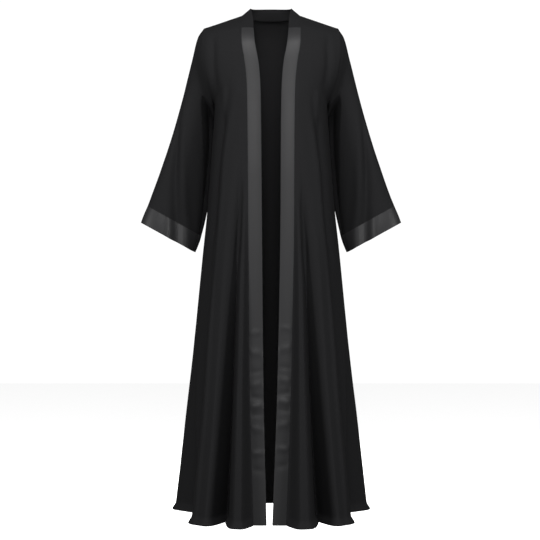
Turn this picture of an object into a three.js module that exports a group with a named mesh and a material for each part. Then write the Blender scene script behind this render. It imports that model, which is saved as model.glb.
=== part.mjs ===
// Open-fronted abaya: a full-length flared robe of black crepe with a satin band down each front edge
// and a satin cuff on each bell sleeve. Millimetres, +Z up, the front faces -Y and +X is the wearer's left.
// The origin lies between the two neck points, on the shoulder seams, where the wearer carries the robe.
// Every piece is a thin closed wall: a grid of points on its outer face, and the same grid moved inwards.

import * as THREE from 'three';

// ---------------------------------------------------------------------------------------------------------
// Driving sizes
// ---------------------------------------------------------------------------------------------------------

const CREPE_WALL = 2.0;       // one layer of crepe with the ease of its drape
const SATIN_WALL = 2.8;       // the bands and cuffs are cut double and interfaced
const SEAM_GAP = 0.3;         // between two pieces at a seam

const HEM_Z = -1395;
const UNDERARM_Z = -249;
const SHOULDER_Y = 5;
const NECK_POINT = { x: 81, z: 0 };
const SHOULDER_POINT = { x: 186, z: -36 };
const UNDERARM = { x: 156, y: 5 };

const ARMHOLE_DEPTH = 64;     // half of its width, front to back
const ARMHOLE_BULGE = 16;     // its sides stand out past the line from shoulder point to underarm
const BULGE_END = 0.5;        // share of the sleeve's length over which that bulge dies away
const SHOULDER_FORWARD = 0.63; // share of a front section's depth at the armhole, where the depth is nil
const EASE_REACH = 3.5;       // rows above and below that a row at the underarm is eased into
const EASE_ROWS = 8;          // rows from the underarm over which that dies away

const NECK_TOP = { x: 56.4, y: 7, z: 21 };     // free edge of the neck band above the neck point
const NECK_BACK = { y: 66, z: -6 };            // seam of the neck band at the centre back
const NECK_BACK_TOP = { y: 60, z: 27 };        // free edge of the neck band at the centre back

const ARM_ROWS = 14;          // rows of a panel from the shoulder seam to the underarm
const SKIRT_ROWS = 17;        // rows from the underarm to the hem
const COLLAR_ROW = 3;         // the satin band starts at this row, the neck band ends there
const FRONT_COLUMNS = 22;
const NECK_COLUMNS = 6;       // columns of half the back that end at the neck seam
const SHOULDER_COLUMNS = 12;  // and those that end at the shoulder seam
const NECK_TURN = 26;         // degrees of the back's quarter turn that the neck columns take
const ROUNDING_ROWS = 9;      // rows over which the back's shoulder rounds into its section
const SLEEVE_RINGS = 15;
const BAND_COLUMNS = 2;
const CUFF_RINGS = 2;
const CUFF_SHARE = 0.1;       // length of the cuff as a share of the sleeve's
const ROW_CROWDING = 1.14;    // above 1, rows lie closer towards the shoulder seam
const RING_CROWDING = 1.25;   // above 1, sleeve rings lie closer towards the armhole
const SEAM_TURN = 0.3;        // share of a shoulder seam over which its wall turns into each end's
const FOLD_SOFTNESS = 0.1;    // how gently a fold begins
const BAND_SET_BACK = 1.5;    // a band's free edge lies this far behind its seam
const COLLAR_RISE = 1.1;      // bends the neck band's free edge up between collarbone and neck point

// Boxiness of a section's quarter turn at the underarm and at the hem: 2 is an ellipse, more is fuller.
const FRONT_ROUNDNESS = { underarm: 2.15, hem: 2.0 };
const BACK_ROUNDNESS = { underarm: 2.3, hem: 2.8 };

// Body sections. band: front seam of the satin band (y); side and side_y: side seam; back: centre back (y).
const SECTIONS = [
  { z: 0, band: 5, side: 186, side_y: 5, back: 66 },
  { z: -16, band: -24, side: 186, side_y: 5, back: 70 },
  { z: -43, band: -58, side: 186, side_y: 5, back: 76 },
  { z: -93, band: -88, side: 178, side_y: 5, back: 87 },
  { z: -192, band: -109, side: 160, side_y: 5, back: 99 },
  { z: -249, band: -119, side: 156, side_y: 5, back: 101 },
  { z: -400, band: -126, side: 167, side_y: 8, back: 106 },
  { z: -513, band: -127, side: 177, side_y: 12, back: 114 },
  { z: -651, band: -128, side: 190, side_y: 17, back: 128 },
  { z: -1000, band: -130, side: 213, side_y: 30, back: 174 },
  { z: -1395, band: -133, side: 245, side_y: 42, back: 232 },
];

// Front edges: x of the free edge of each band and of the band's seam, on the wearer's right and left.
const FRONT_EDGES = [
  { z: 21, edge_right: 55, edge_left: 55, seam_right: 81, seam_left: 81 },
  { z: 0, edge_right: 52, edge_left: 52, seam_right: 81, seam_left: 81 },
  { z: -43, edge_right: 48, edge_left: 48, seam_right: 81, seam_left: 81 },
  { z: -93, edge_right: 43, edge_left: 43, seam_right: 79, seam_left: 79 },
  { z: -136, edge_right: 35, edge_left: 35, seam_right: 72, seam_left: 72 },
  { z: -192, edge_right: 29.5, edge_left: 29.5, seam_right: 66, seam_left: 66 },
  { z: -300, edge_right: 27, edge_left: 27, seam_right: 63.5, seam_left: 63.5 },
  { z: -653, edge_right: 24, edge_left: 24.5, seam_right: 60.5, seam_left: 61 },
  { z: -1057, edge_right: 20, edge_left: 16, seam_right: 56.5, seam_left: 52.5 },
  { z: -1395, edge_right: 11.8, edge_left: 3.2, seam_right: 47, seam_left: 40.5 },
];

// Folds of each half, from the band's seam (turn 0) round the side seam (90) to the centre back (180).
// out and back: how far the hem's point is moved sideways and to the rear; from: the height it starts at.
const FOLDS_RIGHT = [
  { name: 'band seam', turn: 0, hem_turn: 0, from: -430, out: 0, back: 0 },
  { name: 'front lobe', turn: 4, hem_turn: 10, from: -430, out: 1, back: -60 },
  { name: 'deep trough', turn: 9, hem_turn: 27, from: -430, out: -8, back: 68 },
  { name: 'outer lobe', turn: 28, hem_turn: 45, from: -300, out: -8, back: -50 },
  { name: 'side trough', turn: 38, hem_turn: 86, from: -240, out: -47, back: 20 },
  { name: 'side lobe', turn: 108, hem_turn: 119, from: -560, out: 52, back: 6 },
  { name: 'back side trough', turn: 134, hem_turn: 139, from: -420, out: -8, back: -24 },
  { name: 'back lobe', turn: 148, hem_turn: 152, from: -380, out: -8, back: 50 },
  { name: 'back trough', turn: 163, hem_turn: 165, from: -340, out: -10, back: -32 },
  { name: 'centre back', turn: 180, hem_turn: 180, from: -400, out: 0, back: 14 },
];
const FOLDS_LEFT = [
  { name: 'band seam', turn: 0, hem_turn: 0, from: -430, out: 0, back: 0 },
  { name: 'front lobe', turn: 4, hem_turn: 11, from: -450, out: 2, back: -62 },
  { name: 'deep trough', turn: 9, hem_turn: 30, from: -440, out: -8, back: 66 },
  { name: 'outer lobe', turn: 30, hem_turn: 47, from: -310, out: -6, back: -52 },
  { name: 'side trough', turn: 40, hem_turn: 86, from: -250, out: -46, back: 20 },
  { name: 'side lobe', turn: 106, hem_turn: 118, from: -540, out: 52, back: 4 },
  { name: 'back side trough', turn: 132, hem_turn: 137, from: -440, out: -9, back: -26 },
  { name: 'back lobe', turn: 146, hem_turn: 149, from: -350, out: -6, back: 46 },
  { name: 'back trough', turn: 161, hem_turn: 163, from: -380, out: -10, back: -28 },
  { name: 'centre back', turn: 180, hem_turn: 180, from: -400, out: 0, back: 14 },
];

// Sleeve sections from the armhole (at 0) to the cuff's seam (1) and its open edge (1.1): the tube's outer
// and inner edge, and half its depth between them.
const SLEEVE = [
  { at: 0, outer_x: 186, outer_y: 5, outer_z: -36, inner_x: 156, inner_y: 5, inner_z: -249, depth: 64 },
  { at: 0.07, outer_x: 203, outer_y: 6, outer_z: -62, inner_x: 163, inner_y: 20, inner_z: -268, depth: 60 },
  { at: 0.2, outer_x: 219, outer_y: 8, outer_z: -122, inner_x: 160, inner_y: 50, inner_z: -312, depth: 53 },
  { at: 0.4, outer_x: 245, outer_y: 10, outer_z: -228, inner_x: 160, inner_y: 66, inner_z: -392, depth: 47 },
  { at: 0.6, outer_x: 274, outer_y: 12, outer_z: -332, inner_x: 166, inner_y: 68, inner_z: -466, depth: 44 },
  { at: 0.8, outer_x: 308, outer_y: 14, outer_z: -434, inner_x: 177, inner_y: 64, inner_z: -541, depth: 42 },
  { at: 1.0, outer_x: 344, outer_y: 16, outer_z: -529, inner_x: 191, inner_y: 56, inner_z: -614, depth: 40 },
  { at: 1.1, outer_x: 363, outer_y: 17, outer_z: -575, inner_x: 206, inner_y: 48, inner_z: -661, depth: 39 },
];

// Sleeve folds. turn: degrees round the tube from its outer edge over the front, at the armhole and the cuff;
// width: degrees to each side; from: share of the sleeve where it starts; depth: how far it is pushed in.
const SLEEVE_FOLDS = [
  { name: 'outer trough', turn: 50, cuff_turn: 92, width: 24, from: 0.3, depth: 11 },
  { name: 'inner trough', turn: 128, cuff_turn: 146, width: 26, from: 0.02, depth: 15 },
  { name: 'back outer trough', turn: 312, cuff_turn: 286, width: 26, from: 0.25, depth: 10 },
  { name: 'back inner trough', turn: 240, cuff_turn: 228, width: 24, from: 0.15, depth: 9 },
];

const CREPE = new THREE.MeshStandardMaterial({ color: 0x1b1b1c, roughness: 0.9, metalness: 0 });
const SATIN = new THREE.MeshStandardMaterial({ color: 0x2c2c2d, roughness: 0.42, metalness: 0 });

// ---------------------------------------------------------------------------------------------------------
// Tables
// ---------------------------------------------------------------------------------------------------------

// The value of a column between a table's rows, on a smooth curve through them.
function sample(table, key, at, column) {
  const rising = table[1][key] > table[0][key];
  const ahead = (row) => (rising ? row[key] - at : at - row[key]);
  let last = table.findIndex((row) => ahead(row) >= 0);
  if (last === -1) last = table.length - 1;
  last = Math.max(last, 1);
  const slope = (i) => {
    const a = table[Math.max(i - 1, 0)];
    const b = table[Math.min(i + 1, table.length - 1)];
    return (b[column] - a[column]) / (b[key] - a[key]);
  };
  const from = table[last - 1];
  const to = table[last];
  const span = to[key] - from[key];
  const t = THREE.MathUtils.clamp((at - from[key]) / span, 0, 1);
  const s = 1 - t;
  return (
    from[column] * (1 + 2 * t) * s * s +
    to[column] * (1 + 2 * s) * t * t +
    slope(last - 1) * span * t * s * s -
    slope(last) * span * s * t * t
  );
}

const mix = THREE.MathUtils.lerp;
const degrees = THREE.MathUtils.degToRad;
const ease = (t) => t * t * (3 - 2 * t);

// A fold's share of its depth at a height: nothing above its start, then nearly even growth to the hem.
function growth(from, z) {
  const t = THREE.MathUtils.clamp((from - z) / (from - HEM_Z), 0, 1);
  return (t * t * (1 + FOLD_SOFTNESS)) / (t + FOLD_SOFTNESS);
}

// The sideways and rearward shift that the folds give at a turn and height.
function foldShift(folds, turn, z) {
  const places = folds.map((fold) => {
    const t = THREE.MathUtils.clamp((fold.from - z) / (fold.from - HEM_Z), 0, 1);
    const share = growth(fold.from, z);
    return { turn: mix(fold.turn, fold.hem_turn, t), out: fold.out * share, back: fold.back * share };
  });
  const last = Math.max(1, places.findIndex((place) => place.turn >= turn - 1e-9));
  const a = places[last - 1];
  const b = places[last];
  const t = ease(THREE.MathUtils.clamp((turn - a.turn) / (b.turn - a.turn), 0, 1));
  return { out: mix(a.out, b.out, t), back: mix(a.back, b.back, t) };
}

// ---------------------------------------------------------------------------------------------------------
// Lines that pieces share
// ---------------------------------------------------------------------------------------------------------

// Height of a row on the panel's inner edge. The armhole rows close up towards the shoulder seam.
function rowHeight(row) {
  if (row <= ARM_ROWS) return UNDERARM_Z * (row / ARM_ROWS) ** ROW_CROWDING;
  return mix(UNDERARM_Z, HEM_Z, (row - ARM_ROWS) / SKIRT_ROWS);
}

// The armhole, from the shoulder point (0 degrees) over the front to the underarm (180) and up the back.
function armhole(side, angle) {
  const x = (SHOULDER_POINT.x + UNDERARM.x) / 2 + ((SHOULDER_POINT.x - UNDERARM.x) / 2) * Math.cos(angle);
  const z = (SHOULDER_POINT.z + UNDERARM_Z) / 2 + ((SHOULDER_POINT.z - UNDERARM_Z) / 2) * Math.cos(angle);
  const bulge = ARMHOLE_BULGE * Math.sin(angle) ** 2;
  return new THREE.Vector3(side * (x + bulge), SHOULDER_Y - ARMHOLE_DEPTH * Math.sin(angle), z);
}

// The outer edge of a front (facing -1) or of the back (facing 1): armhole, then side seam.
function outerEdge(side, facing, row) {
  if (row <= ARM_ROWS) return armhole(side, -facing * Math.PI * (row / ARM_ROWS));
  const z = rowHeight(row);
  return new THREE.Vector3(side * sample(SECTIONS, 'z', z, 'side'), sample(SECTIONS, 'z', z, 'side_y'), z);
}

// The seam between a front and its band.
function bandSeam(side, row) {
  const z = rowHeight(row);
  const column = side < 0 ? 'seam_right' : 'seam_left';
  return new THREE.Vector3(side * sample(FRONT_EDGES, 'z', z, column), sample(SECTIONS, 'z', z, 'band'), z);
}

// The free edge of a satin band.
function bandEdge(side, row) {
  const seam = bandSeam(side, row);
  const column = side < 0 ? 'edge_right' : 'edge_left';
  return new THREE.Vector3(side * sample(FRONT_EDGES, 'z', seam.z, column), seam.y + BAND_SET_BACK, seam.z);
}

// The neck band's seam and its free edge round the back, at 0 degrees over the neck point and 90 at the back.
function neckSeam(side, angle) {
  const y = mix(SHOULDER_Y, NECK_BACK.y, Math.sin(angle));
  const z = mix(NECK_POINT.z, NECK_BACK.z, Math.sin(angle) ** 2);
  return new THREE.Vector3(side * NECK_POINT.x * Math.cos(angle), y, z);
}

function neckEdge(side, angle) {
  const y = mix(NECK_TOP.y, NECK_BACK_TOP.y, Math.sin(angle));
  const z = mix(NECK_TOP.z, NECK_BACK_TOP.z, Math.sin(angle) ** 2);
  return new THREE.Vector3(side * NECK_TOP.x * Math.cos(angle), y, z);
}

// ---------------------------------------------------------------------------------------------------------
// Grids of the pieces' outer faces, as rows of points
// ---------------------------------------------------------------------------------------------------------

const count = (length, make) => Array.from({ length }, (_, i) => make(i));

// The power that gives a section's quarter turn its boxiness at a height.
function turnPower(roundness, z) {
  return 2 / mix(roundness.underarm, roundness.hem, THREE.MathUtils.smoothstep(-z, -UNDERARM_Z, -HEM_Z));
}

// A front's section is a quarter turn from the band's seam to the side. Above the underarm the armhole cuts
// it short: turn is where, in degrees, across its share of the width there, and side the x that the whole
// quarter would run out to.
function sectionEnd(inner, outer, sideY, power) {
  const depth = inner.y - sideY;
  const share = Math.abs(depth) < 1 ? SHOULDER_FORWARD : (outer.y - sideY) / depth;
  const turn = Math.acos(THREE.MathUtils.clamp(share, 0, 1) ** (1 / power));
  const across = Math.sin(turn) ** power;
  return { turn: THREE.MathUtils.radToDeg(turn), across, side: inner.x + (outer.x - inner.x) / across };
}

// A point of a panel, eased into the rows above and below where the panel passes the underarm. loose is 1
// where the cloth is free and 0 at its seams.
function eased(point, row, loose) {
  const reach = EASE_REACH * loose * Math.max(0, 1 - Math.abs(row - ARM_ROWS) / EASE_ROWS);
  const middle = point(row);
  if (reach === 0) return middle;
  const ends = point(row - reach).add(point(row + reach)).multiplyScalar(0.5);
  return middle.lerp(ends, 0.5);
}

function frontPoint(side, row, share) {
  const inner = bandSeam(side, row);
  const outer = outerEdge(side, -1, row);
  const sideY = sample(SECTIONS, 'z', inner.z, 'side_y');
  const power = turnPower(FRONT_ROUNDNESS, inner.z);
  const end = sectionEnd(inner, outer, sideY, power);
  const turn = end.turn * share;
  const across = Math.sin(degrees(turn)) ** power;
  const forward = Math.max(Math.cos(degrees(turn)), 0) ** power;
  const z = mix(inner.z, outer.z, across / end.across);
  const shift = foldShift(side < 0 ? FOLDS_RIGHT : FOLDS_LEFT, turn, z);
  const x = mix(inner.x, end.side, across) + side * shift.out;
  return new THREE.Vector3(x, mix(sideY, inner.y, forward) + shift.back, z);
}

function frontGrid(side) {
  return count(ARM_ROWS + SKIRT_ROWS + 1, (row) =>
    count(FRONT_COLUMNS + 1, (column) => {
      const share = column / FRONT_COLUMNS;
      return eased((at) => frontPoint(side, at, share), row, Math.sin(Math.PI * share));
    }),
  );
}

// The quarter turn of each column of half the back, in degrees from the centre back.
function backTurn(column) {
  if (column <= NECK_COLUMNS) return (NECK_TURN * column) / NECK_COLUMNS;
  return mix(NECK_TURN, 90, (column - NECK_COLUMNS) / SHOULDER_COLUMNS);
}

// The top edge of half the back: round the neck, then along the straight shoulder seam.
function backTop(side, column) {
  if (column <= NECK_COLUMNS) return neckSeam(side, degrees(90 - (90 * column) / NECK_COLUMNS));
  const along = (column - NECK_COLUMNS) / SHOULDER_COLUMNS;
  const x = mix(NECK_POINT.x, SHOULDER_POINT.x, along);
  return new THREE.Vector3(side * x, SHOULDER_Y, mix(NECK_POINT.z, SHOULDER_POINT.z, along));
}

function backPoint(side, row, column) {
  const z = rowHeight(row);
  const outer = outerEdge(side, 1, row);
  const turn = backTurn(column);
  const power = turnPower(BACK_ROUNDNESS, z);
  const across = Math.sin(degrees(turn)) ** power;
  const rearward = Math.max(Math.cos(degrees(turn)), 0) ** power;
  const height = mix(mix(NECK_BACK.z, z, Math.min(1, row / ROUNDING_ROWS)), outer.z, across);
  const shift = foldShift(side < 0 ? FOLDS_RIGHT : FOLDS_LEFT, 180 - turn, height);
  const y = mix(outer.y, sample(SECTIONS, 'z', z, 'back'), rearward) + shift.back;
  return new THREE.Vector3(outer.x * across + side * shift.out, y, height);
}

// Half the back: its sections, drawn up to the neck and shoulder seams over the first rows.
function backHalf(side, row) {
  const columns = NECK_COLUMNS + SHOULDER_COLUMNS;
  const left = 1 - Math.sin((Math.PI / 2) * Math.min(1, row / ROUNDING_ROWS));
  return count(columns + 1, (column) => {
    const top = backTop(side, column).sub(backPoint(side, 0, column));
    const loose = Math.cos(((Math.PI / 2) * column) / columns);
    return eased((at) => backPoint(side, at, column), row, loose).addScaledVector(top, left);
  });
}

function backGrid() {
  return count(ARM_ROWS + SKIRT_ROWS + 1, (row) => [
    ...backHalf(-1, row).reverse(),
    ...backHalf(1, row).slice(1),
  ]);
}

// A ring of the sleeve or cuff, with the same points as the armhole where it starts.
function sleeveRing(side, at) {
  const part = (column) => sample(SLEEVE, 'at', at, column);
  const outer = new THREE.Vector3(part('outer_x'), part('outer_y'), part('outer_z'));
  const inner = new THREE.Vector3(part('inner_x'), part('inner_y'), part('inner_z'));
  const middle = outer.clone().add(inner).multiplyScalar(0.5);
  const half = outer.clone().sub(inner).multiplyScalar(0.5);
  const bulge = ARMHOLE_BULGE * Math.max(0, 1 - at / BULGE_END) ** 2;
  return count(2 * ARM_ROWS, (i) => {
    const angle = (Math.PI * i) / ARM_ROWS;
    const point = middle.clone().addScaledVector(half, Math.cos(angle));
    point.x += bulge * Math.sin(angle) ** 2;
    point.y -= part('depth') * Math.sin(angle);
    const inward = half.clone().multiplyScalar(-Math.cos(angle) / half.lengthSq());
    inward.y += Math.sin(angle) / part('depth');
    inward.normalize();
    for (const fold of SLEEVE_FOLDS) {
      const grown = THREE.MathUtils.smoothstep(at, fold.from, 1);
      const away = (THREE.MathUtils.radToDeg(angle) - mix(fold.turn, fold.cuff_turn, at)) / fold.width;
      point.addScaledVector(inward, fold.depth * grown * Math.exp(-away * away));
    }
    return point.setX(side * point.x);
  });
}

function sleeveGrid(side) {
  return count(SLEEVE_RINGS + 1, (ring) => sleeveRing(side, (ring / SLEEVE_RINGS) ** RING_CROWDING));
}

function cuffGrid(side) {
  return count(CUFF_RINGS + 1, (ring) => sleeveRing(side, 1 + (CUFF_SHARE * ring) / CUFF_RINGS));
}

function bandGrid(side) {
  return count(ARM_ROWS + SKIRT_ROWS + 1 - COLLAR_ROW, (i) => {
    const seam = bandSeam(side, COLLAR_ROW + i);
    const edge = bandEdge(side, COLLAR_ROW + i);
    return count(BAND_COLUMNS + 1, (column) => seam.clone().lerp(edge, column / BAND_COLUMNS));
  });
}

// The neck band runs from the collar seam on the wearer's right, round the back, to the one on the left.
function neckBandGrid() {
  const across = (seam, edge) => count(BAND_COLUMNS + 1, (i) => seam.clone().lerp(edge, i / BAND_COLUMNS));
  const frontPart = (side) =>
    count(COLLAR_ROW, (i) => {
      const row = COLLAR_ROW - i;
      const rise = (1 - row / COLLAR_ROW) ** COLLAR_RISE;
      const low = bandEdge(side, COLLAR_ROW);
      const top = neckEdge(side, 0);
      const edge = low.clone().lerp(top, rise).setX(mix(low.x, top.x, rise ** 2));
      return across(bandSeam(side, row), edge);
    });
  const backPart = (side) =>
    count(NECK_COLUMNS + 1, (i) => {
      const angle = degrees((90 * i) / NECK_COLUMNS);
      return across(neckSeam(side, angle), neckEdge(side, angle));
    });
  return [
    ...frontPart(-1),
    ...backPart(-1),
    ...backPart(1).reverse().slice(1),
    ...frontPart(1).reverse(),
  ];
}

// ---------------------------------------------------------------------------------------------------------
// Walls
// ---------------------------------------------------------------------------------------------------------

// seams: which edges of the grid are sewn to another piece. round: the grid closes on itself. flip: the
// grid's own faces point inwards.
const PIECES = [
  { name: 'back', grid: backGrid(), cloth: 'crepe', seams: 'first left right', flip: true },
  { name: 'front_right', grid: frontGrid(-1), cloth: 'crepe', seams: 'first left right', flip: true },
  { name: 'front_left', grid: frontGrid(1), cloth: 'crepe', seams: 'first left right' },
  { name: 'sleeve_right', grid: sleeveGrid(-1), cloth: 'crepe', seams: 'first last', round: true },
  { name: 'sleeve_left', grid: sleeveGrid(1), cloth: 'crepe', seams: 'first last', round: true, flip: true },
  { name: 'neck_band', grid: neckBandGrid(), cloth: 'crepe', seams: 'first last left', flip: true },
  { name: 'front_band_right', grid: bandGrid(-1), cloth: 'satin', seams: 'first left' },
  { name: 'front_band_left', grid: bandGrid(1), cloth: 'satin', seams: 'first left', flip: true },
  { name: 'cuff_right', grid: cuffGrid(-1), cloth: 'satin', seams: 'first', round: true },
  { name: 'cuff_left', grid: cuffGrid(1), cloth: 'satin', seams: 'first', round: true, flip: true },
];
const CLOTHS = {
  crepe: { wall: CREPE_WALL, material: CREPE },
  satin: { wall: SATIN_WALL, material: SATIN },
};

const placeKey = (point) => point.toArray().map((value) => value.toFixed(3)).join();

// The four-sided cells of a grid, as corner indexes [row, column].
function cells(piece) {
  const rows = piece.grid.length - 1;
  const columns = piece.grid[0].length;
  const across = piece.round ? columns : columns - 1;
  const found = [];
  for (let r = 0; r < rows; r += 1) {
    for (let c = 0; c < across; c += 1) {
      const next = (c + 1) % columns;
      found.push([[r, c], [r + 1, c], [r + 1, next], [r, next]]);
    }
  }
  return found;
}

// Outward direction at every point, shared by the pieces that meet there and weighted by each corner's angle.
function outwardDirections(pieces) {
  const sums = new Map();
  for (const piece of pieces) {
    for (const corners of cells(piece)) {
      const points = corners.map(([r, c]) => piece.grid[r][c]);
      const normal = points[2].clone().sub(points[0]).cross(points[3].clone().sub(points[1])).normalize();
      if (piece.flip) normal.negate();
      points.forEach((point, i) => {
        const last = points[(i + 3) % 4].clone().sub(point);
        const next = points[(i + 1) % 4].clone().sub(point);
        const key = placeKey(point);
        if (!sums.has(key)) sums.set(key, new THREE.Vector3());
        sums.get(key).addScaledVector(normal, last.angleTo(next));
      });
    }
  }
  for (const sum of sums.values()) sum.normalize();
  return sums;
}

// Along a shoulder seam the front and the back have their points in different places, so the wall's
// direction there follows the seam alone: square to it, and turning into the shared one at each end.
function squareShoulderSeams(pieces, directions) {
  const neck = new THREE.Vector3(NECK_POINT.x, SHOULDER_Y, NECK_POINT.z);
  const shoulder = new THREE.Vector3(SHOULDER_POINT.x, SHOULDER_Y, SHOULDER_POINT.z);
  const along = shoulder.clone().sub(neck);
  const square = new THREE.Vector3(-along.z, 0, along.x).normalize();
  const atNeck = directions.get(placeKey(neck));
  const atShoulder = directions.get(placeKey(shoulder));
  for (const piece of pieces) {
    if (!piece.name.startsWith('front_') && piece.name !== 'back') continue;
    for (const point of piece.grid[0]) {
      const share = (Math.abs(point.x) - neck.x) / along.x;
      if (share < 1e-4 || share > 1 - 1e-4 || Math.abs(point.y - SHOULDER_Y) > 0.01) continue;
      const direction = square.clone();
      direction.lerp(atNeck, ease(Math.max(0, 1 - share / SEAM_TURN)));
      direction.lerp(atShoulder, ease(Math.max(0, 1 - (1 - share) / SEAM_TURN)));
      direction.x *= Math.sign(point.x);
      directions.set(placeKey(point), direction.normalize());
    }
  }
}

// A piece's points, with its sewn edges drawn back by half the seam's gap, square to the edge and to the
// wall's direction.
function drawnBack(piece, directions) {
  const rows = piece.grid.length - 1;
  const columns = piece.grid[0].length - 1;
  const at = (r, c) => {
    const wrapped = piece.round ? (c + columns + 1) % (columns + 1) : THREE.MathUtils.clamp(c, 0, columns);
    return piece.grid[THREE.MathUtils.clamp(r, 0, rows)][wrapped];
  };
  const edges = {
    first: (r) => r === 0 && [1, 0],
    last: (r) => r === rows && [-1, 0],
    left: (r, c) => c === 0 && [0, 1],
    right: (r, c) => c === columns && [0, -1],
  };
  const sewn = Object.keys(edges).filter((name) => piece.seams.split(' ').includes(name));
  return piece.grid.map((line, r) =>
    line.map((point, c) => {
      const outward = directions.get(placeKey(point));
      const moved = point.clone();
      for (const name of sewn) {
        const inwards = edges[name](r, c);
        if (!inwards) continue;
        const [dr, dc] = inwards;
        const along = at(r + dc, c + dr).clone().sub(at(r - dc, c - dr));
        const step = outward.clone().cross(along).normalize();
        const neighbour = at(r + dr, c + dc).clone().sub(point);
        moved.addScaledVector(step, (Math.sign(step.dot(neighbour)) * SEAM_GAP) / 2);
      }
      return moved;
    }),
  );
}

// Which of two neighbours on a rim its diagonal starts from, the same for both pieces at a seam.
const comesFirst = (a, b) => (a.z - b.z || a.x - b.x || a.y - b.y) > 0;

// One closed body: the outer face, the inner face and the rims between them.
function wallGeometry(piece, directions) {
  const outer = drawnBack(piece, directions);
  const columns = outer[0].length;
  const layer = outer.length * columns;
  const points = piece.grid.flat();
  const inwards = points.map((point) => directions.get(placeKey(point)).clone().negate());
  const outside = outer.flat();
  const { wall } = CLOTHS[piece.cloth];
  const inside = outside.map((point, i) => point.clone().addScaledVector(inwards[i], wall));
  const faces = [];
  const triangle = (a, b, c, turned) => faces.push(...(turned ? [a, c, b] : [a, b, c]));
  const borders = new Map();
  for (const corners of cells(piece)) {
    const [a, b, c, d] = corners.map(([row, column]) => row * columns + column);
    for (const start of [0, layer]) {
      const turned = Boolean(piece.flip) !== start > 0;
      triangle(a + start, b + start, c + start, turned);
      triangle(a + start, c + start, d + start, turned);
    }
    for (const [from, to] of [[a, b], [b, c], [c, d], [d, a]]) {
      if (!borders.delete(`${to},${from}`)) borders.set(`${from},${to}`, [from, to]);
    }
  }
  for (const [from, to] of borders.values()) {
    const turned = Boolean(piece.flip);
    if (comesFirst(points[from], points[to])) {
      triangle(from, from + layer, to, turned);
      triangle(to, from + layer, to + layer, turned);
    } else {
      triangle(from, from + layer, to + layer, turned);
      triangle(from, to + layer, to, turned);
    }
  }
  const geometry = new THREE.BufferGeometry();
  const numbers = [...outside, ...inside].flatMap((place) => place.toArray());
  geometry.setAttribute('position', new THREE.Float32BufferAttribute(numbers, 3));
  geometry.setIndex(faces);
  geometry.computeVertexNormals();
  return geometry;
}

const directions = outwardDirections(PIECES);
squareShoulderSeams(PIECES, directions);

const abaya = new THREE.Group();
for (const piece of PIECES) {
  const mesh = new THREE.Mesh(wallGeometry(piece, directions), CLOTHS[piece.cloth].material);
  mesh.name = piece.name;
  abaya.add(mesh);
}

export default abaya;
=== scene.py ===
import math

import bmesh
import bpy
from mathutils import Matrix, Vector, noise


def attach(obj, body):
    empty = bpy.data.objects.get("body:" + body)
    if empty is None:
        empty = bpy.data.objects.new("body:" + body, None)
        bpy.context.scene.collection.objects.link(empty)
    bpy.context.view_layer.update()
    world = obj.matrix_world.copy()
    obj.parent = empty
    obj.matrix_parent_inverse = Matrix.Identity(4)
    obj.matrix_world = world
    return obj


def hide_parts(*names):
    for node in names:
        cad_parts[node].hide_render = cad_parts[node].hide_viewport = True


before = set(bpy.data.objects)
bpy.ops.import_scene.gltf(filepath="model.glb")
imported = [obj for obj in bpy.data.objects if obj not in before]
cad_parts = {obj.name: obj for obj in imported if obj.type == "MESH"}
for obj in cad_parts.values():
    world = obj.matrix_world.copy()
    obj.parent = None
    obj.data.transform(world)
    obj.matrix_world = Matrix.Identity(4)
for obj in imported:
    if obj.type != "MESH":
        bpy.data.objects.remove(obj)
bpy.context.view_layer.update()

# ---- Camera ----------------------------------------------------------------------------------------------
# A long lens, level with the middle of the robe and square to its front, so that the whole length fills the
# frame with almost no convergence.
EYE = Vector((-0.0028, -4.2, -0.707))
LENS_MM = 100.8

camera = bpy.data.objects.new("camera", bpy.data.cameras.new("camera"))
bpy.context.collection.objects.link(camera)
camera.location = EYE
camera.rotation_euler = (math.radians(90), 0, 0)
camera.data.lens = LENS_MM
camera.data.clip_end = 40
bpy.context.scene.camera = camera

# ---- Studio ----------------------------------------------------------------------------------------------
# A white studio: a pale floor well under the hem, white all round to the eye, and a dim ambient light. A tall
# soft box stands forward on each side, so that deep folds fall dark. Others light the front, top and back.
FLOOR_Z = -1.62
FLOOR_SIDE = 16.0
FLOOR_COLOUR = "F4F4F4"
FLOOR_GLOW = 0.8
AMBIENT = 0.12
WHITE_ROUND = 1.05           # strength of the white that the eye sees all round
SOFT_BOXES = [
    # name, place, width, height, watts
    ("box_front", (0.0, -3.8, 0.55), 0.8, 0.9, 65),
    ("box_above", (0.0, -2.2, 2.3), 2.2, 0.9, 100),
    ("box_right", (-2.7, -2.6, -0.4), 0.7, 1.8, 72),
    ("box_left", (2.7, -2.6, -0.4), 0.7, 1.8, 72),
    ("box_behind", (0.0, 3.8, 0.6), 1.6, 1.2, 150),
]


def linear(hex_colour):
    """An sRGB hex colour as linear red, green, blue and alpha."""
    parts = [int(hex_colour[i:i + 2], 16) / 255 for i in (0, 2, 4)]
    return [c / 12.92 if c <= 0.04045 else ((c + 0.055) / 1.055) ** 2.4 for c in parts] + [1.0]


def add_node(tree, kind, links=None, **settings):
    """Adds a shader node; settings name its sockets or its own properties, links its linked inputs."""
    node = tree.nodes.new(kind)
    for name, value in settings.items():
        socket = name.replace("_", " ")
        if hasattr(node, name):
            setattr(node, name, value)
        else:
            node.inputs[socket].default_value = value
    for name, source in (links or {}).items():
        tree.links.new(source, node.inputs[name])
    return node


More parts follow.
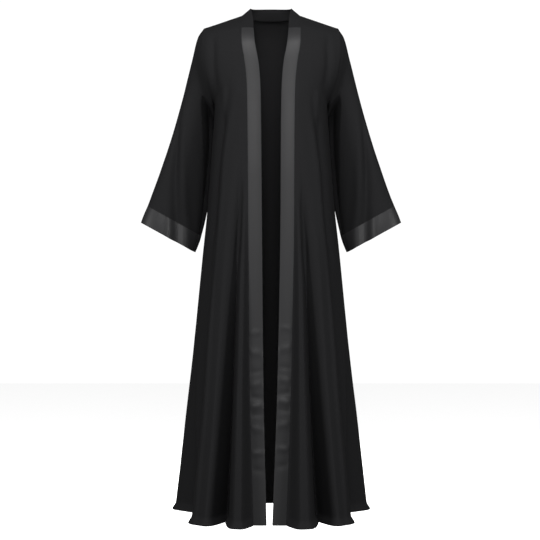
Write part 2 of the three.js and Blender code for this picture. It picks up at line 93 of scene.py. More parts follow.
world = bpy.data.worlds.new("studio")
bpy.context.scene.world = world
world.use_nodes = True
sky = world.node_tree
sky.nodes.clear()
seen = add_node(sky, "ShaderNodeLightPath")
strength = add_node(sky, "ShaderNodeMapRange", {"Value": seen.outputs["Is Camera Ray"]})
strength.inputs["To Min"].default_value = AMBIENT
strength.inputs["To Max"].default_value = WHITE_ROUND
white = add_node(sky, "ShaderNodeBackground", {"Strength": strength.outputs["Result"]})
white.inputs["Color"].default_value = (1, 1, 1, 1)
add_node(sky, "ShaderNodeOutputWorld", {"Surface": white.outputs["Background"]})

floor_bm = bmesh.new()
bmesh.ops.create_grid(floor_bm, x_segments=1, y_segments=1, size=FLOOR_SIDE / 2)
bmesh.ops.translate(floor_bm, verts=floor_bm.verts, vec=(0, 0, FLOOR_Z))
floor_mesh = bpy.data.meshes.new("floor")
floor_bm.to_mesh(floor_mesh)
floor_bm.free()
floor_paint = bpy.data.materials.new("pale_floor_paint")
floor_paint.use_nodes = True
floor_shader = floor_paint.node_tree.nodes["Principled BSDF"]
floor_shader.inputs["Base Color"].default_value = linear(FLOOR_COLOUR)
floor_shader.inputs["Roughness"].default_value = 0.9
floor_shader.inputs["Emission Color"].default_value = (1, 1, 1, 1)
floor_shader.inputs["Emission Strength"].default_value = FLOOR_GLOW
floor_mesh.materials.append(floor_paint)
floor = bpy.data.objects.new("floor", floor_mesh)
bpy.context.collection.objects.link(floor)
floor.visible_diffuse = False
floor.visible_glossy = False

AIM = Vector((0, 0, -0.6))   # where the soft boxes point
for box_name, box_place, box_width, box_height, watts in SOFT_BOXES:
    lamp = bpy.data.lights.new(box_name, "AREA")
    lamp.shape = "RECTANGLE"
    lamp.size, lamp.size_y, lamp.energy = box_width, box_height, watts
    box = bpy.data.objects.new(box_name, lamp)
    box.location = box_place
    box.visible_camera = False
    box.rotation_euler = (AIM - Vector(box_place)).to_track_quat("-Z", "Y").to_euler()
    bpy.context.collection.objects.link(box)

bpy.context.scene.view_settings.view_transform = "Standard"

# ---- Back ------------------------------------------------------------------------------------------------
# One piece of black crepe from the neck seam and the shoulder seams to the hem, cut flared, so that it falls
# in two soft folds on each side and a shallow one down the centre. The hem is turned up twice and stitched.
HEM_Z = -1.395
UNDERARM_Z = -0.249
SHOULDER_Y = 0.005
NECK_POINT = (0.081, 0.0)            # x and z
SHOULDER_POINT = (0.186, -0.036)
UNDERARM_X = 0.156
ARMHOLE_DEPTH = 0.064
ARMHOLE_BULGE = 0.016
NECK_BACK = (0.066, -0.006)          # y and z of the neck seam at the centre back
CREPE_WALL = 0.0016

SECTION_COLUMNS = ("z", "band", "side", "side_y", "back")
SECTIONS = [
    (0.000, 0.005, 0.186, 0.005, 0.066),
    (-0.016, -0.024, 0.186, 0.005, 0.070),
    (-0.043, -0.058, 0.186, 0.005, 0.076),
    (-0.093, -0.088, 0.178, 0.005, 0.087),
    (-0.192, -0.109, 0.160, 0.005, 0.099),
    (-0.249, -0.119, 0.156, 0.005, 0.101),
    (-0.400, -0.126, 0.167, 0.008, 0.106),
    (-0.513, -0.127, 0.177, 0.012, 0.114),
    (-0.651, -0.128, 0.190, 0.017, 0.128),
    (-1.000, -0.130, 0.213, 0.030, 0.174),
    (-1.395, -0.133, 0.245, 0.042, 0.232),
]

# Folds of each half, from the band's seam (turn 0) round the side seam (90) to the centre back (180): the
# turn at the top and at the hem, the height where the fold starts, the hem's shift outwards and rearwards,
# the part of the stretch from the fold before over which the cloth turns, and how it bends there.
FOLDS_RIGHT = [
    (0, 0, -0.430, 0.000, 0.000, 0.0, 1.0, "soft"),
    (4, 10, -0.430, 0.001, -0.060, 0.0, 1.0, "soft"),
    (9, 27, -0.430, -0.018, 0.068, 0.25, 1.0, "falling"),
    (28, 45, -0.300, 0.001, -0.050, 0.0, 0.85, "rising"),
    (38, 86, -0.240, -0.047, 0.020, 0.30, 0.80, "soft"),
    (108, 119, -0.560, 0.052, 0.006, 0.0, 1.0, "soft"),
    (134, 139, -0.420, -0.008, -0.024, 0.0, 1.0, "soft"),
    (148, 152, -0.380, -0.008, 0.050, 0.0, 1.0, "soft"),
    (163, 165, -0.340, -0.010, -0.032, 0.0, 1.0, "soft"),
    (180, 180, -0.400, 0.000, 0.014, 0.0, 1.0, "soft"),
]
FOLDS_LEFT = [
    (0, 0, -0.430, 0.000, 0.000, 0.0, 1.0, "soft"),
    (4, 11, -0.450, 0.002, -0.062, 0.0, 1.0, "soft"),
    (9, 30, -0.440, -0.018, 0.066, 0.25, 1.0, "falling"),
    (30, 47, -0.310, 0.002, -0.052, 0.0, 0.85, "rising"),
    (40, 86, -0.250, -0.046, 0.020, 0.30, 0.80, "soft"),
    (106, 118, -0.540, 0.052, 0.004, 0.0, 1.0, "soft"),
    (132, 137, -0.440, -0.009, -0.026, 0.0, 1.0, "soft"),
    (146, 149, -0.350, -0.006, 0.046, 0.0, 1.0, "soft"),
    (161, 163, -0.380, -0.010, -0.028, 0.0, 1.0, "soft"),
    (180, 180, -0.400, 0.000, 0.014, 0.0, 1.0, "soft"),
]
FOLDS = {-1: FOLDS_RIGHT, 1: FOLDS_LEFT}


def mix(a, b, t):
    return a + (b - a) * t


def clamp(t):
    return min(max(t, 0.0), 1.0)


def smooth(start, end, value):
    t = clamp((value - start) / (end - start))
    return t * t * (3 - 2 * t)


def read(rows, at, column):
    """The value of a column between a table's rows, on a smooth curve; the first column is the key."""
    rising = rows[1][0] > rows[0][0]
    last = len(rows) - 1
    for i in range(1, len(rows)):
        if (rows[i][0] >= at) if rising else (rows[i][0] <= at):
            last = i
            break

    def slope(i):
        a, b = rows[max(i - 1, 0)], rows[min(i + 1, len(rows) - 1)]
        return (b[column] - a[column]) / (b[0] - a[0])

    low, high = rows[last - 1], rows[last]
    span = high[0] - low[0]
    t = clamp((at - low[0]) / span)
    s = 1 - t
    return (low[column] * (1 + 2 * t) * s * s + high[column] * (1 + 2 * s) * t * t
            + slope(last - 1) * span * t * s * s - slope(last) * span * s * t * t)


def section(z, column):
    return read(SECTIONS, z, SECTION_COLUMNS.index(column))


# How cloth runs from one fold to the next: soft at both, or sharp at the one before or at the one after.
FOLD_BENDS = {
    "soft": lambda t: t * t * (3 - 2 * t),
    "rising": lambda t: math.sin(math.pi / 2 * t),
    "falling": lambda t: 1 - math.cos(math.pi / 2 * t),
}


FOLD_ONSET = 0.1             # how softly a fold starts, as a share of its length


def fold_shift(side, turn, z):
    """How far the folds move a point outwards and rearwards."""
    places = []
    for top_turn, hem_turn, start, out, back, *_ in FOLDS[side]:
        t = clamp((start - z) / (start - HEM_Z))
        share = t * t * (1 + FOLD_ONSET) / (t + FOLD_ONSET)
        places.append((mix(top_turn, hem_turn, t), out * share, back * share))
    last = next((i for i in range(1, len(places)) if places[i][0] >= turn - 1e-9), len(places) - 1)
    a, b = places[last - 1], places[last]
    begin, finish, bend = FOLDS[side][last][5:]
    t = clamp(((turn - a[0]) / (b[0] - a[0]) - begin) / (finish - begin))
    t = FOLD_BENDS[bend](t)
    return mix(a[1], b[1], t), mix(a[2], b[2], t)


ARM_SHARE = 14 / 31          # share of a panel's rows that lie above the underarm
ARM_CROWDING = 1.14          # above 1, they lie closer together towards the shoulder


def row_height(v):
    """Height of a row at the panel's inner edge, for v from 0 at the shoulder to 1 at the hem."""
    if v <= ARM_SHARE:
        return UNDERARM_Z * (v / ARM_SHARE) ** ARM_CROWDING
    return mix(UNDERARM_Z, HEM_Z, (v - ARM_SHARE) / (1 - ARM_SHARE))


def armhole(side, angle):
    """The armhole from the shoulder point (0) over the front to the underarm (pi) and up the back."""
    half_x, half_z = (SHOULDER_POINT[0] - UNDERARM_X) / 2, (SHOULDER_POINT[1] - UNDERARM_Z) / 2
    x = UNDERARM_X + half_x * (1 + math.cos(angle)) + ARMHOLE_BULGE * math.sin(angle) ** 2
    z = UNDERARM_Z + half_z * (1 + math.cos(angle))
    return Vector((side * x, SHOULDER_Y - ARMHOLE_DEPTH * math.sin(angle), z))


def outer_edge(side, facing, v):
    """The outer edge of a front (facing -1) or of the back (facing 1): armhole, then side seam."""
    if v <= ARM_SHARE:
        return armhole(side, -facing * math.pi * v / ARM_SHARE)
    z = row_height(v)
    return Vector((side * section(z, "side"), section(z, "side_y"), z))


EASE_REACH = 3.5 / 31        # how far up and down a panel is eased where it passes the underarm
EASE_SPAN = 8 / 31           # and how far from the underarm that dies away


def eased(place, v, loose):
    """A panel's point, eased into its neighbours near the underarm. Loose is 1 for free cloth, 0 at seams."""
    reach = EASE_REACH * loose * max(0, 1 - abs(v - ARM_SHARE) / EASE_SPAN)
    if reach < 1e-6:
        return place(v)
    return place(v) / 2 + (place(v - reach) + place(v + reach)) / 4


def neck_seam(side, angle):
    """The neck band's seam round the back, at 0 over the neck point and pi/2 at the centre back."""
    y = mix(SHOULDER_Y, NECK_BACK[0], math.sin(angle))
    z = mix(NECK_POINT[1], NECK_BACK[1], math.sin(angle) ** 2)
    return Vector((side * NECK_POINT[0] * math.cos(angle), y, z))


NECK_SHARE = 1 / 3           # share of half the back's columns that end at the neck seam
NECK_TURN = 26
ROUNDING = 9 / 31            # share of the rows over which the shoulder rounds into its section
BACK_SQUARE = (2.3, 2.8)     # how square the section is, at the underarm and at the hem: 2 is an ellipse


def back_top(side, share):
    if share <= NECK_SHARE:
        return neck_seam(side, math.pi / 2 * (1 - share / NECK_SHARE))
    along = (share - NECK_SHARE) / (1 - NECK_SHARE)
    x = mix(NECK_POINT[0], SHOULDER_POINT[0], along)
    return Vector((side * x, SHOULDER_Y, mix(NECK_POINT[1], SHOULDER_POINT[1], along)))


def back_section(side, share, v):
    z = row_height(v)
    outer = outer_edge(side, 1, v)
    if share <= NECK_SHARE:
        turn = NECK_TURN * share / NECK_SHARE
    else:
        turn = mix(NECK_TURN, 90, (share - NECK_SHARE) / (1 - NECK_SHARE))
    power = 2 / mix(*BACK_SQUARE, smooth(-UNDERARM_Z, -HEM_Z, -z))
    across = math.sin(math.radians(turn)) ** power
    rearward = max(math.cos(math.radians(turn)), 0) ** power
    height = mix(mix(NECK_BACK[1], z, min(1, v / ROUNDING)), outer.z, across)
    out, back = fold_shift(side, 180 - turn, height)
    return Vector((outer.x * across + side * out, mix(outer.y, section(z, "back"), rearward) + back, height))


def back_place(u, v):
    side = -1 if u < 0.5 else 1
    share = abs(2 * u - 1)
    left = 1 - math.sin(math.pi / 2 * min(1, v / ROUNDING))
    drawn_up = (back_top(side, share) - back_section(side, share, 0)) * left
    return eased(lambda at: back_section(side, share, at), v, math.cos(math.pi / 2 * share)) + drawn_up


CREASE_REACH = 3             # widths from its line beyond which a crease no longer counts
CREASE_PAST_END = 0.12       # share of its length by which it runs on past each end
CREASE_FADE = 0.30           # share of its length, in from each end, at which it has its full height


def crease_height(point, creases):
    """Height of the creases at a point: soft troughs (under 0) and ridges, faded at both ends."""
    total = 0
    for line, width, height in creases:
        top, bottom = line[0][0], line[-1][0]
        along = (top - point.z) / (top - bottom)
        if not -CREASE_PAST_END < along < 1 + CREASE_PAST_END:
            continue
        crease_x = read(line, min(max(point.z, bottom), top), 1)
        away = (point.x - crease_x) / width
        if abs(away) < CREASE_REACH:
            start = smooth(-CREASE_PAST_END, CREASE_FADE, along)
            end = 1 - smooth(1 - CREASE_FADE, 1 + CREASE_PAST_END, along)
            total += height * start * end * math.exp(-away * away)
    return total


# The uneven hang of light cloth: long soft waves that run down it, and a little small unevenness. Each has a
# height, how many waves there are to a metre across and down, and a shift of its pattern.
LONG_WAVES = (0.0022, 9, 2.2, 0)
SHORT_WAVES = (0.00035, 42, 13, 7)


def slack(point):
    total = 0
    for height, across, down, shift in (LONG_WAVES, SHORT_WAVES):
        total += height * noise.noise(Vector((point.x * across, point.y * across, point.z * down + shift)))
    return total


def make_sheet(name, across, along, place, raised, wall, turned, closed=False, crowding=1.0):
    """A sewn sheet: a grid laid out to place(u, v), its creases raised along its normals, then its wall.

    With crowding above 1 its rows lie closer together towards the hem.
    """
    bm = bmesh.new()
    bmesh.ops.create_grid(bm, x_segments=across, y_segments=along, size=0.5)
    bm.verts.ensure_lookup_table()
    grid = {}
    for vert in bm.verts:
        u, v = clamp(vert.co.x + 0.5), 1 - clamp(vert.co.y + 0.5) ** crowding
        grid[vert.index] = (u, v)
        vert.co = place(u, v)
    if not turned:
        bmesh.ops.reverse_faces(bm, faces=bm.faces)
    bm.normal_update()
    shifts = [(vert, vert.normal * raised(*grid[vert.index], vert.co)) for vert in bm.verts]
    for vert, shift in shifts:
        vert.co += shift
    layout = flat_layout(bm, across, along)
    uv = bm.loops.layers.uv.new("weave")
    for face in bm.faces:
        face.smooth = True
        for loop in face.loops:
            loop[uv].uv = layout[loop.vert.index]
    if closed:
        bmesh.ops.remove_doubles(bm, verts=bm.verts, dist=1e-5)
    for edge in bm.edges:
        edge.smooth = not edge.is_boundary
    mesh = bpy.data.meshes.new(name)
    bm.to_mesh(mesh)
    bm.free()
    piece = bpy.data.objects.new(name, mesh)
    bpy.context.collection.objects.link(piece)
    shell = piece.modifiers.new("wall", "SOLIDIFY")
    shell.thickness = wall
    shell.offset = -1
    shell.material_offset = 1
    return piece


def flat_layout(bm, across, along):
    """Each vertex's place on the flat cloth in metres, measured along its row and down the sheet's middle."""
    columns = across + 1
    where = {}
    middle = across // 2
    down = 0
    verts = bm.verts
    for row in range(along + 1):
        start = row * columns
        if row:
            down += (verts[start + middle].co - verts[start - columns + middle].co).length
        lengths = [0.0]
        for column in range(1, columns):
            lengths.append(lengths[-1] + (verts[start + column].co - verts[start + column - 1].co).length)
        for column in range(columns):
            where[start + column] = (lengths[column] - lengths[middle], -down)
    return where


GRAIN = 0.0016               # the crepe's pebbles, really about 0.6 mm, drawn coarser so that they show


def make_crepe(name, yarn, hollow):
    """Black crepe: highly twisted yarn, piece-dyed, with a dull, dry surface and a fine pebbled grain."""
    cloth = bpy.data.materials.new(name)
    cloth.use_nodes = True
    tree = cloth.node_tree
    shader = tree.nodes["Principled BSDF"]
    place = add_node(tree, "ShaderNodeUVMap", uv_map="weave")
    grain = add_node(tree, "ShaderNodeTexNoise", {"Vector": place.outputs["UV"]},
                     Scale=1 / GRAIN, Detail=3.0, Roughness=0.6)
    ramp = add_node(tree, "ShaderNodeMapRange", {"Value": grain.outputs["Fac"]})
    ramp.inputs["From Min"].default_value = 0.3
    ramp.inputs["From Max"].default_value = 0.7
    colour = add_node(tree, "ShaderNodeMix", {"Factor": ramp.outputs["Result"]}, data_type="RGBA")
    colour.inputs["A"].default_value = linear(hollow)
    colour.inputs["B"].default_value = linear(yarn)
    tree.links.new(colour.outputs["Result"], shader.inputs["Base Color"])
    bump = add_node(tree, "ShaderNodeBump", {"Height": grain.outputs["Fac"]}, Strength=0.35, Distance=0.0004)
    tree.links.new(bump.outputs["Normal"], shader.inputs["Normal"])
    shader.inputs["Roughness"].default_value = 0.85
    shader.inputs["Specular IOR Level"].default_value = 0.1
    return cloth


# The wrong side is painted a little paler: painted light, lifting the inside of the robe where it lies in
# shade.
crepe = make_crepe("black_crepe", "1A1A1B", "131314")
crepe_inside = make_crepe("black_crepe_wrong_side", "1C1C1D", "151516")

HEM_DEPTH = 0.012            # turned up twice and stitched
HEM_THICKER = 0.0006         # what the turned-up cloth adds
HEM_ROLL = 0.0015            # radius at which its edge rolls under
HEM_KICK = 0.009             # its edge stands out by nearly this
HEM_KICK_FROM = 0.024        # starting from this far above the edge


def hem_height(v):
    """The hem: its turned-up band is thicker, kicks out a little and rolls under at its edge."""
    above = (1 - v) * (UNDERARM_Z - HEM_Z) / (1 - ARM_SHARE)
    thick = HEM_THICKER * (1 - smooth(HEM_DEPTH - 0.001, HEM_DEPTH + 0.002, above))
    short = max(0, HEM_ROLL - above)
    rolled = HEM_ROLL - math.sqrt(HEM_ROLL ** 2 - short ** 2)
    return thick + HEM_KICK * (1 - smooth(-HEM_KICK_FROM / 4, HEM_KICK_FROM, above)) - rolled


# Creases of the back: each a line of (z, x) from its top down, its width, and its height above the cloth.
BACK_CREASES = [
    ([(-0.090, -0.160), (-0.180, -0.158), (-0.300, -0.145)], 0.016, -0.0050),
    ([(-0.095, 0.160), (-0.190, 0.157), (-0.290, 0.142)], 0.015, -0.0045),
    ([(-0.260, -0.100), (-0.400, -0.122), (-0.560, -0.132)], 0.014, 0.0040),
    ([(-0.280, 0.094), (-0.400, 0.114), (-0.540, 0.128)], 0.015, 0.0035),
    ([(-0.270, -0.120), (-0.420, -0.142), (-0.580, -0.150)], 0.012, -0.0050),
    ([(-0.290, 0.114), (-0.410, 0.134), (-0.560, 0.146)], 0.012, -0.0045),
    ([(-0.150, -0.040), (-0.330, -0.050), (-0.520, -0.055)], 0.020, -0.0035),
    ([(-0.200, 0.048), (-0.400, 0.056), (-0.600, 0.060)], 0.018, -0.0035),
]


# On every piece, creases and hem fade out beside the seams, so that it still meets the next one there.
def back_raised(u, v, point):
    edge = min(u, 1 - u) * 0.5
    inside = smooth(0.0, 0.05, edge) * smooth(0.0, 0.03, v)
    hem = hem_height(v) * smooth(0.0, 0.02, edge)
    return inside * (crease_height(point, BACK_CREASES) + slack(point)) + hem


back = make_sheet("back_panel", 160, 240, back_place, back_raised, CREPE_WALL, turned=False, crowding=1.3)
back.data.materials.append(crepe)
back.data.materials.append(crepe_inside)
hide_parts("back")
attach(back, "root")

# ---- Fronts ----------------------------------------------------------------------------------------------
# Two mirror-cut crepe panels, from the shoulder seam to the hem, sewn to the back at the shoulder and side.
# Each falls in a soft lobe beside its band, a deep trough and a broad lobe with a crisp outer ridge, and
# shares a side fold with the back.
EDGE_COLUMNS = ("z", "edge_right", "edge_left", "seam_right", "seam_left")
FRONT_EDGES = [
    (0.021, 0.0550, 0.0550, 0.0810, 0.0810),
    (0.000, 0.0520, 0.0520, 0.0810, 0.0810),
    (-0.043, 0.0480, 0.0480, 0.0810, 0.0810),
    (-0.093, 0.0430, 0.0430, 0.0790, 0.0790),
    (-0.136, 0.0350, 0.0350, 0.0720, 0.0720),
    (-0.192, 0.0295, 0.0295, 0.0660, 0.0660),
    (-0.300, 0.0270, 0.0270, 0.0635, 0.0635),
    (-0.653, 0.0240, 0.0245, 0.0605, 0.0610),
    (-1.057, 0.0200, 0.0160, 0.0565, 0.0525),
    (-1.395, 0.0118, 0.0032, 0.0470, 0.0405),
]
SIDE_NAMES = {-1: "right", 1: "left"}


def front_edge(side, z, kind):
    return side * read(FRONT_EDGES, z, EDGE_COLUMNS.index(f"{kind}_{SIDE_NAMES[side]}"))


def band_seam(side, v):
    z = row_height(v)
    return Vector((front_edge(side, z, "seam"), section(z, "band"), z))


SHOULDER_FORWARD = 0.63      # share of a front section's depth at the armhole, where the depth is nil
FRONT_SQUARE = (2.15, 2.0)


def front_section(side, u, v):
    """A quarter turn from the band's seam to the side; above the underarm the armhole cuts it short."""
    inner, outer = band_seam(side, v), outer_edge(side, -1, v)
    side_y = section(inner.z, "side_y")
    power = 2 / mix(*FRONT_SQUARE, smooth(-UNDERARM_Z, -HEM_Z, -inner.z))
    depth = inner.y - side_y
    end_forward = SHOULDER_FORWARD if abs(depth) < 0.001 else clamp((outer.y - side_y) / depth)
    end_turn = math.acos(end_forward ** (1 / power))
    end_across = math.sin(end_turn) ** power
    side_x = inner.x + (outer.x - inner.x) / end_across
    across = math.sin(end_turn * u) ** power
    forward = max(math.cos(end_turn * u), 0) ** power
    z = mix(inner.z, outer.z, across / end_across)
    out, back_shift = fold_shift(side, math.degrees(end_turn * u), z)
    return Vector((mix(inner.x, side_x, across) + side * out, mix(side_y, inner.y, forward) + back_shift, z))


def front_place(side, u, v):
    return eased(lambda at: front_section(side, u, at), v, math.sin(math.pi * u))


# Creases of the fronts: beside the armhole, from the bust down the side with the ridge inside it, over the
# bust, where the deep trough begins, and the crisp ridge down the outer lobe.
FRONT_CREASES = {
    -1: [
        ([(-0.060, -0.158), (-0.150, -0.158), (-0.235, -0.148)], 0.010, -0.0050),
        ([(-0.225, -0.118), (-0.406, -0.144), (-0.515, -0.152), (-0.700, -0.170)], 0.009, -0.0085),
        ([(-0.250, -0.104), (-0.406, -0.128), (-0.515, -0.137), (-0.680, -0.152)], 0.010, 0.0040),
        ([(-0.200, -0.128), (-0.300, -0.127)], 0.008, 0.0025),
        ([(-0.440, -0.080), (-0.700, -0.092)], 0.010, -0.0045),
        ([(-0.620, -0.151), (-0.800, -0.161), (-1.066, -0.177), (-1.286, -0.197), (-1.500, -0.214)],
         0.006, 0.0045),
    ],
    1: [
        ([(-0.065, 0.156), (-0.145, 0.157), (-0.230, 0.147)], 0.010, -0.0050),
        ([(-0.245, 0.116), (-0.420, 0.142), (-0.540, 0.151), (-0.720, 0.170)], 0.009, -0.0085),
        ([(-0.270, 0.102), (-0.420, 0.126), (-0.540, 0.136), (-0.700, 0.152)], 0.010, 0.0040),
        ([(-0.215, 0.127), (-0.310, 0.125)], 0.008, 0.0025),
        ([(-0.480, 0.082), (-0.720, 0.094)], 0.010, -0.0045),
        ([(-0.640, 0.151), (-0.800, 0.162), (-1.066, 0.180), (-1.286, 0.198), (-1.500, 0.216)],
         0.006, 0.0045),
    ],
}

for side in (-1, 1):
    def front_raised(u, v, point, side=side):
        inside = smooth(0.0, 0.05, u) * smooth(1.0, 0.86, u) * smooth(0.0, 0.03, v)
        raised = crease_height(point, FRONT_CREASES[side]) + slack(point)
        hem = hem_height(v) * smooth(0, 0.03, u) * smooth(1.0, 0.95, u)
        return inside * raised + hem

    front = make_sheet(f"front_panel_{SIDE_NAMES[side]}", 130, 270,
                       lambda u, v, side=side: front_place(side, u, v),
                       front_raised, CREPE_WALL, turned=side > 0, crowding=1.3)
    front.data.materials.append(crepe)
    front.data.materials.append(crepe_inside)
    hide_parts(f"front_{SIDE_NAMES[side]}")
    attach(front, "root")

# ---- Sleeves ---------------------------------------------------------------------------------------------
# A bell sleeve of crepe, set in at the armhole and closed by one seam under the arm. It widens to the cuff,
# and hangs in a fold over the front, one beside the body and two behind.

# Rings down the sleeve: the share of its length, past 1 on the cuff, its outer and inner edge, half its
# depth, and the turn in degrees at which its front ends in a ridge and goes straight back.
SLEEVE_COLUMNS = ("at", "outer_x", "outer_y", "outer_z", "inner_x", "inner_y", "inner_z", "depth", "ridge")
SLEEVE = [
    (0.00, 0.186, 0.005, -0.036, 0.156, 0.005, -0.249, 0.064, 180),
    (0.07, 0.203, 0.006, -0.062, 0.156, 0.020, -0.268, 0.060, 150),
    (0.20, 0.219, 0.008, -0.122, 0.1565, 0.050, -0.312, 0.053, 95),
    (0.40, 0.245, 0.010, -0.228, 0.158, 0.066, -0.392, 0.047, 106),
    (0.60, 0.274, 0.012, -0.332, 0.166, 0.068, -0.466, 0.044, 124),
    (0.80, 0.308, 0.014, -0.434, 0.177, 0.064, -0.541, 0.042, 143),
    (1.00, 0.344, 0.016, -0.529, 0.191, 0.056, -0.614, 0.040, 170),
    (1.10, 0.363, 0.017, -0.575, 0.206, 0.048, -0.661, 0.039, 179),
]
# Sleeve folds: degrees round the tube from its outer edge over the front, at the armhole and at the cuff;
# width in degrees, where along the sleeve it starts and is full, and its depth.
SLEEVE_FOLDS = [
    (-34, 93, 12, 0.40, 0.75, 0.013),
    (-12, 116, 12, 0.42, 0.80, -0.004),
    (132, 172, 20, 0.08, 0.30, 0.012),
    (312, 286, 20, 0.25, 0.80, 0.011),
    (240, 228, 20, 0.15, 0.60, 0.012),
]


SLEEVE_CROWDING = 1.15       # above 1, its rows lie closer together towards the armhole
BULGE_END = 0.5              # share of its length at which the armhole's bulge has died away


def sleeve_point(side, at, angle):
    part = {name: read(SLEEVE, at, i) for i, name in enumerate(SLEEVE_COLUMNS)}
    outer = Vector((part["outer_x"], part["outer_y"], part["outer_z"]))
    inner = Vector((part["inner_x"], part["inner_y"], part["inner_z"]))
    half = (outer - inner) / 2
    across, forward = math.cos(angle), math.sin(angle)
    inward = half * (-across / half.length_squared)
    inward.y += forward / part["depth"]
    inward.normalize()
    turn, ridge = math.degrees(angle) % 360, part["ridge"]
    if ridge < turn < 180:
        # From its front ridge the cloth goes straight back to the seam under the arm.
        behind = (turn - ridge) / (180 - ridge)
        across = mix(math.cos(math.radians(ridge)), -1, behind)
        forward = mix(math.sin(math.radians(ridge)), 0, behind)
    point = (outer + inner) / 2 + half * across
    point.x += ARMHOLE_BULGE * max(0, 1 - at / BULGE_END) ** 2 * forward ** 2
    point.y -= part["depth"] * forward
    for fold_turn, cuff_turn, width, start, full, depth in SLEEVE_FOLDS:
        away = (turn - mix(fold_turn, cuff_turn, at)) / width
        point += inward * depth * smooth(start, full, at) * math.exp(-away * away)
    point.x *= side
    return point


for side in (-1, 1):
    def sleeve_place(u, v, side=side):
        return sleeve_point(side, v ** SLEEVE_CROWDING, math.pi * (1 + 2 * u))

    def sleeve_raised(u, v, point):
        free = smooth(0.0, 0.06, v) * smooth(1.0, 0.95, v) * smooth(0.0, 0.04, min(u, 1 - u))
        return free * slack(point)

    sleeve = make_sheet(f"sleeve_tube_{SIDE_NAMES[side]}", 150, 130, sleeve_place, sleeve_raised,
                        CREPE_WALL, turned=side < 0, closed=True)
    sleeve.data.materials.append(crepe)
    sleeve.data.materials.append(crepe_inside)
    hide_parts(f"sleeve_{SIDE_NAMES[side]}")
    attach(sleeve, "root")

# ---- Neck band -------------------------------------------------------------------------------------------
# A strip of the same crepe, cut double and folded at its upper edge. It runs round the back neck and down to
# the collarbones, where a seam joins it to the satin.
NECK_TOP = (0.0564, 0.007, 0.021)    # its upper edge beside the neck point
NECK_BACK_TOP = (0.060, 0.027)       # y and z of its upper edge at the centre back
COLLAR_V = 3 / 31                    # share of the fronts' rows above its end
BAND_SET_BACK = 0.0015               # how far a band's free edge lies behind its seam


def neck_edge(side, angle):
    y = mix(NECK_TOP[1], NECK_BACK_TOP[0], math.sin(angle))
    z = mix(NECK_TOP[2], NECK_BACK_TOP[1], math.sin(angle) ** 2)
    return Vector((side * NECK_TOP[0] * math.cos(angle), y, z))


def band_edge(side, v):
    seam = band_seam(side, v)
    return Vector((front_edge(side, seam.z, "edge"), seam.y + BAND_SET_BACK, seam.z))


FRONT_PART = 0.24            # share of the neck band's length in front of each neck point
FRONT_RISE = 1.1             # above 1, its free edge rises slowly from the collarbone at first


def neck_band_place(u, v):
    side = -1 if u < 0.5 else 1
    from_front = min(u, 1 - u)
    if from_front < FRONT_PART:
        rise = (from_front / FRONT_PART) ** FRONT_RISE
        low, top = band_edge(side, COLLAR_V), neck_edge(side, 0)
        edge = Vector((mix(low.x, top.x, rise ** 2), mix(low.y, top.y, rise), mix(low.z, top.z, rise)))
        seam = band_seam(side, COLLAR_V * (1 - from_front / FRONT_PART))
    else:
        angle = math.pi / 2 * (from_front - FRONT_PART) / (0.5 - FRONT_PART)
        seam, edge = neck_seam(side, angle), neck_edge(side, angle)
    return seam.lerp(edge, v)


neck_band = make_sheet("neck_band_strip", 160, 12, neck_band_place,
                       lambda u, v, point: 0, CREPE_WALL, turned=True)
neck_band.data.materials.append(crepe)
neck_band.data.materials.append(crepe_inside)
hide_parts("neck_band")
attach(neck_band, "root")

# ---- Front bands -----------------------------------------------------------------------------------------
# A 37 mm satin band down each front edge, cut double over interfacing and folded at its free edge. The seam
# holds it a little short, so it puckers across in places in its lower half.
SATIN_WALL = 0.0026
SATIN = "222223"

# Puckers: z, how long each is up and down, how far it stands out, and how it slants.
PUCKERS = [
    (-0.870, 0.008, 0.0009, 0.10), (-0.925, 0.010, 0.0013, -0.12), (-0.975, 0.007, -0.0009, 0.10),
    (-1.010, 0.009, 0.0014, 0.14), (-1.045, 0.008, -0.0015, -0.10), (-1.068, 0.007, 0.0018, 0.12),
    (-1.090, 0.008, -0.0013, 0.05), (-1.130, 0.010, 0.0015, -0.12), (-1.195, 0.008, 0.0018, 0.08),
    (-1.240, 0.009, -0.0012, -0.10),
]

# The satin's floats, really about 0.2 mm wide and 2 mm long, drawn coarser so that they show.
FLOAT_WIDTH = 0.0008
FLOAT_LENGTH = 0.009


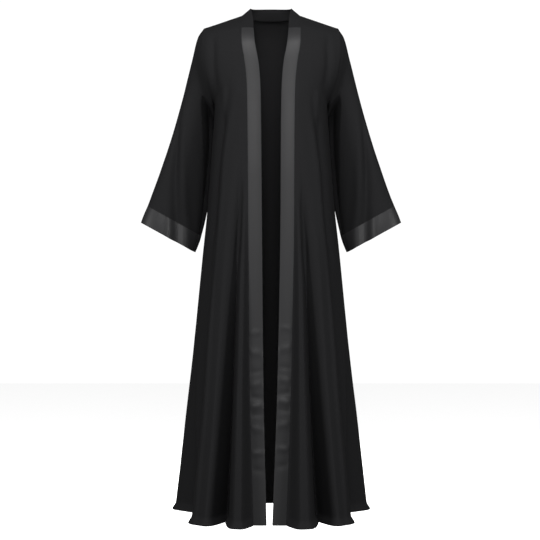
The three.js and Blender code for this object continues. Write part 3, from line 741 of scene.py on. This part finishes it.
def make_satin():
    """Black satin: long floats of smooth filament yarn lie along one way, so light spreads across them."""
    satin = bpy.data.materials.new("black_satin")
    satin.use_nodes = True
    tree = satin.node_tree
    shader = tree.nodes["Principled BSDF"]
    place = add_node(tree, "ShaderNodeUVMap", uv_map="weave")
    stretch = add_node(tree, "ShaderNodeMapping", {"Vector": place.outputs["UV"]})
    stretch.inputs["Scale"].default_value = (1 / FLOAT_WIDTH, 1 / FLOAT_LENGTH, 1)
    floats = add_node(tree, "ShaderNodeTexNoise", {"Vector": stretch.outputs["Vector"]},
                      Scale=1.0, Detail=2.0)
    bump = add_node(tree, "ShaderNodeBump", {"Height": floats.outputs["Fac"]}, Strength=0.12, Distance=0.0002)
    tree.links.new(bump.outputs["Normal"], shader.inputs["Normal"])
    shader.inputs["Base Color"].default_value = linear(SATIN)
    shader.inputs["Roughness"].default_value = 0.45
    shader.inputs["Specular IOR Level"].default_value = 0.18
    return satin


satin = make_satin()


BAND_CROWN = 0.0012          # how far the band's middle stands above its edges
PUCKER_SHIFT = 0.006         # how far up the left band's puckers lie, and down the right's
PUCKER_SPAN = 0.05           # what a slant of 1 would rise from edge to edge


def band_raised(side, u, point):
    crown = BAND_CROWN * math.sin(math.pi * clamp(u)) ** 0.7
    pucker = 0
    for z, width, height, slant in PUCKERS:
        away = (point.z - z - side * PUCKER_SHIFT - slant * (u - 0.5) * PUCKER_SPAN) / width
        pucker += height * math.exp(-away * away)
    return crown + pucker * math.sin(math.pi * u) ** 0.5


for side in (-1, 1):
    def band_place(u, v, side=side):
        at = mix(COLLAR_V, 1, v)
        return band_seam(side, at).lerp(band_edge(side, at), u)

    band = make_sheet(f"satin_band_{SIDE_NAMES[side]}", 16, 420, band_place,
                      lambda u, v, point, side=side: band_raised(side, u, point),
                      SATIN_WALL, turned=side < 0)
    band.data.materials.append(satin)
    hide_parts(f"front_band_{SIDE_NAMES[side]}")
    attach(band, "root")

# ---- Cuffs -----------------------------------------------------------------------------------------------
# A 50 mm satin cuff on each sleeve, cut double over interfacing, folded at its open edge and sewn to the
# crepe at the other. It goes on widening as the sleeve does.
CUFF_SHARE = 0.1             # its depth, as a share of the sleeve's length
CUFF_CROWN = 0.0008          # how far its middle stands above its edges

for side in (-1, 1):
    cuff = make_sheet(f"satin_cuff_{SIDE_NAMES[side]}", 140, 18,
                      lambda u, v, side=side: sleeve_point(side, 1 + CUFF_SHARE * v, math.pi * (1 + 2 * u)),
                      lambda u, v, point: CUFF_CROWN * math.sin(math.pi * v),
                      SATIN_WALL, turned=side < 0, closed=True)
    cuff.data.materials.append(satin)
    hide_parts(f"cuff_{SIDE_NAMES[side]}")
    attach(cuff, "root")
